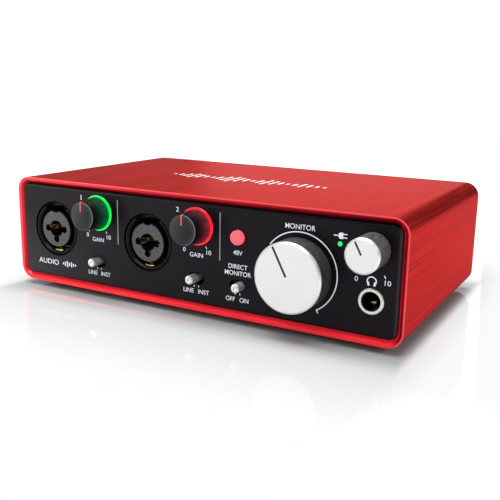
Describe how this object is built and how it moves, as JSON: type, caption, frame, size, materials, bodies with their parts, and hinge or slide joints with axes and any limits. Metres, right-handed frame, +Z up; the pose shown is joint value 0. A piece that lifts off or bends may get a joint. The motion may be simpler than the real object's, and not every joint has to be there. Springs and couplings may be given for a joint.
{
  "type": "audio interface",
  "caption": "Desktop audio interface: brushed metal sleeve, black fascia with combination input sockets, lit gain dials, a large monitor dial, small slide switches and a headphone socket.",
  "frame": {"origin": "centre of the whole object's outline, on the surface that the feet stand on", "axes": "+Z up, -Y out of the front panel, +X to the right seen from the front"},
  "size_m": [0.175, 0.1122, 0.0478],
  "materials": {
    "anodised_red": "brushed anodised aluminium, satin",
    "fascia_black": "satin black with a fine grain",
    "plate_steel": "zinc plated",
    "screw_black": "black oxide",
    "foot_rubber": "matt moulded rubber",
    "board_green": "solder mask over laminate",
    "electronics": "moulded packages",
    "capacitor_can": "printed aluminium can",
    "light_guide": "milky clear plastic, lit",
    "jack_plastic": "black moulded nylon",
    "contact_gold": "gold flashed spring bronze",
    "nickel": "satin nickel plating",
    "knob_dark": "finely grained dark plastic",
    "knob_satin": "soft satin coating",
    "cap_silver": "bead blasted aluminium",
    "pointer_red": "moulded inlay",
    "pointer_black": "filled groove",
    "key_red": "translucent, lit from behind",
    "shaft_steel": "turned steel"
  },
  "bodies": {
    "chassis": {"case_sleeve": "anodised_red", "front_fascia": "fascia_black", "front_plate": "plate_steel", "front_plate_screws": "screw_black", "rear_panel": "fascia_black", "rear_panel_screws": "screw_black", "feet": "foot_rubber", "main_board": "board_green", "control_board": "board_green", "board_header": "electronics", "capacitors": "capacitor_can", "chips": "electronics", "panel_leds": "light_guide", "status_light": "light_guide", "headphone_jack_ferrule": "nickel", "headphone_jack_body": "jack_plastic", "headphone_jack_leaf": "contact_gold", "line_out_nuts": "jack_plastic", "usb_socket_shell": "nickel", "usb_socket_tongue": "jack_plastic", "lock_bracket": "plate_steel", "lock_plate": "plate_steel", "phantom_switch": "electronics", "monitor_pot": "electronics", "headphone_pot": "electronics", "direct_switch": "electronics", "input_jack_1_shell": "jack_plastic", "input_jack_1_insert": "jack_plastic", "input_jack_1_contacts": "contact_gold", "input_jack_1_ground_spring": "contact_gold", "input_jack_2_shell": "jack_plastic", "input_jack_2_insert": "jack_plastic", "input_jack_2_contacts": "contact_gold", "input_jack_2_ground_spring": "contact_gold", "gain_halo_1": "light_guide", "gain_pot_1": "electronics", "gain_halo_2": "light_guide", "gain_pot_2": "electronics", "line_out_jack_1": "jack_plastic", "line_out_jack_2": "jack_plastic", "input_switch_1": "electronics", "input_switch_2": "electronics"},
    "gain_dial_1": {"gain_knob_1": "knob_satin", "gain_pointer_1": "pointer_red", "gain_shaft_1": "shaft_steel"},
    "gain_dial_2": {"gain_knob_2": "knob_satin", "gain_pointer_2": "pointer_red", "gain_shaft_2": "shaft_steel"},
    "monitor_dial": {"monitor_knob": "knob_dark", "monitor_cap": "cap_silver", "monitor_pointer": "pointer_black", "monitor_shaft": "shaft_steel"},
    "headphone_dial": {"headphone_knob": "knob_dark", "headphone_cap": "cap_silver", "headphone_pointer": "pointer_black", "headphone_shaft": "shaft_steel"},
    "phantom_key": {"phantom_button": "key_red"},
    "input_slider_1": {"input_selector_1": "shaft_steel"},
    "input_slider_2": {"input_selector_2": "shaft_steel"},
    "direct_slider": {"direct_selector": "shaft_steel"}
  },
  "joints": [
    {"name": "gain_dial_1_turn", "type": "hinge", "parent": "chassis", "child": "gain_dial_1", "pos_m": [-0.0435, -0.0446, 0.0359], "axis": [0, 1, 0], "range_deg": [-146, 154]},
    {"name": "gain_dial_2_turn", "type": "hinge", "parent": "chassis", "child": "gain_dial_2", "pos_m": [0.0049, -0.0446, 0.0359], "axis": [0, 1, 0], "range_deg": [-146, 154]},
    {"name": "monitor_dial_turn", "type": "hinge", "parent": "chassis", "child": "monitor_dial", "pos_m": [0.04815, -0.0446, 0.0242], "axis": [0, 1, 0], "range_deg": [-122, 178]},
    {"name": "headphone_dial_turn", "type": "hinge", "parent": "chassis", "child": "headphone_dial", "pos_m": [0.0753, -0.0446, 0.036], "axis": [0, 1, 0], "range_deg": [-122, 178]},
    {"name": "phantom_key_press", "type": "slide", "parent": "chassis", "child": "phantom_key", "axis": [0, 1, 0], "range_m": [0, 0.0012], "stiffness_N_per_m": 600, "springref_m": -0.0008},
    {"name": "input_slider_1_slide", "type": "slide", "parent": "chassis", "child": "input_slider_1", "axis": [1, 0, 0], "range_m": [0, 0.002]},
    {"name": "input_slider_2_slide", "type": "slide", "parent": "chassis", "child": "input_slider_2", "axis": [1, 0, 0], "range_m": [0, 0.002]},
    {"name": "direct_slider_slide", "type": "slide", "parent": "chassis", "child": "direct_slider", "axis": [1, 0, 0], "range_m": [-0.002, 0]}
  ]
}
